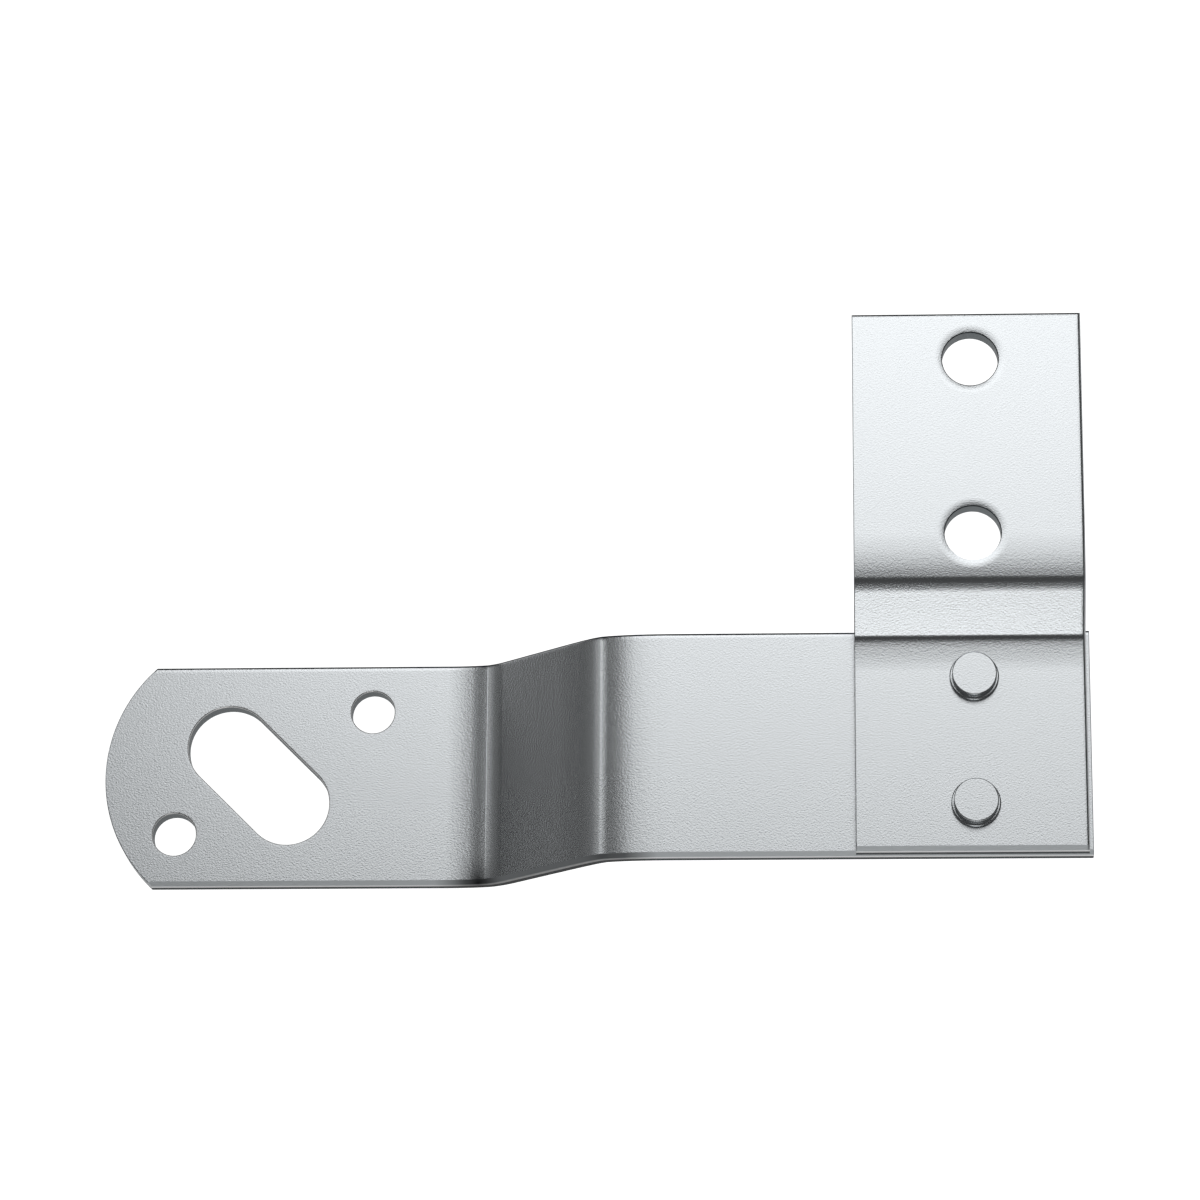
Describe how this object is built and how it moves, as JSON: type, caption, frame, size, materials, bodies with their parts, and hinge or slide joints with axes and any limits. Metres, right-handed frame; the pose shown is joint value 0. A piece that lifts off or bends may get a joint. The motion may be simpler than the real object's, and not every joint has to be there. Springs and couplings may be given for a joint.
{
  "type": "stamped metal bracket",
  "caption": "Stepped steel strap with a diagonal slot and screw holes, riveted across its raised end to a stepped upright strap with bolt holes.",
  "frame": {"origin": "centre of the diagonal slot, on the back face of the long strap", "axes": "+X along the long strap towards its raised end, +Y up the upright strap, +Z square to the mounting face, towards the side with the rivet heads"},
  "size_m": [0.1087, 0.0596, 0.0198],
  "materials": {
    "plated_steel": "satin zinc plating",
    "rivet_steel": "satin zinc plating"
  },
  "bodies": {
    "root": {"long_strap": "plated_steel", "upright_strap": "plated_steel", "rivet_lower": "rivet_steel", "rivet_upper": "rivet_steel"}
  },
  "joints": []
}
